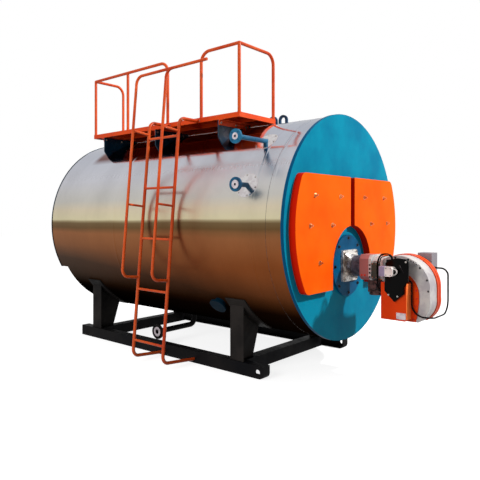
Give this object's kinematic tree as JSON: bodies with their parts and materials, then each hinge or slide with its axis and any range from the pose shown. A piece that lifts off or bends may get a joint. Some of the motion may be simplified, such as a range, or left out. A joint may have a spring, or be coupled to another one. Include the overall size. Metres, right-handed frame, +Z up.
{
  "type": "industrial boiler",
  "caption": "Horizontal fire-tube steam boiler in stainless cladding on a skid, with a top walkway, side ladder, paired front doors and a gas burner.",
  "frame": {"origin": "on the floor, midway under the front cross beam", "axes": "+X along the barrel towards the burner, -Y towards the ladder side, +Z up"},
  "size_m": [4.214, 2.3979, 3.076],
  "materials": {
    "skid_paint": "semi-gloss, dusty",
    "leg_paint": "satin",
    "stainless": "polished with a fine grain",
    "navy_paint": "gloss",
    "plate_paint": "gloss",
    "pipe_paint": "gloss",
    "orange_paint": "gloss",
    "cast_aluminium": "as cast",
    "neck_iron": "matt",
    "head_paint": "satin",
    "black_plastic": "satin",
    "white_plastic": "satin",
    "motor_paint": "satin"
  },
  "bodies": {
    "root": {"skid_beam_near": "skid_paint", "skid_beam_far": "skid_paint", "skid_cross_front": "skid_paint", "skid_cross_rear": "skid_paint", "leg_front_near": "leg_paint", "leg_front_far": "leg_paint", "leg_rear_near": "leg_paint", "leg_rear_far": "leg_paint", "cladding_front": "stainless", "cladding_middle": "stainless", "cladding_rear": "stainless", "smoke_box": "stainless", "smoke_box_cover": "navy_paint", "rear_plate": "skid_paint", "front_plate": "plate_paint", "door_left": "orange_paint", "door_right": "orange_paint", "burner_mount_plate": "plate_paint", "burner_flange": "cast_aluminium", "burner_neck": "neck_iron", "burner_head": "head_paint", "burner_adapter": "cast_aluminium", "gas_valve": "black_plastic", "damper_servo": "white_plastic", "control_cover": "black_plastic", "air_intake_box": "orange_paint", "fan_housing": "cast_aluminium", "fan_band": "orange_paint", "fan_motor": "motor_paint", "damper_leads": "black_plastic", "motor_lead": "black_plastic", "gauge_nozzle_upper": "pipe_paint", "gauge_nozzle_lower": "pipe_paint", "gauge_collars": "stainless", "lifting_lugs": "navy_paint", "blowdown_nozzle": "skid_paint", "side_nozzle": "navy_paint", "walkway": "orange_paint", "walkway_support_rear": "navy_paint", "walkway_support_middle": "navy_paint", "walkway_support_front": "navy_paint", "railing_rear": "orange_paint", "railing_front": "orange_paint", "ladder_stile_rear": "orange_paint", "ladder_stile_front": "orange_paint", "ladder_rungs": "orange_paint", "ladder_handrail_rear": "orange_paint", "ladder_handrail_front": "orange_paint"}
  },
  "joints": []
}
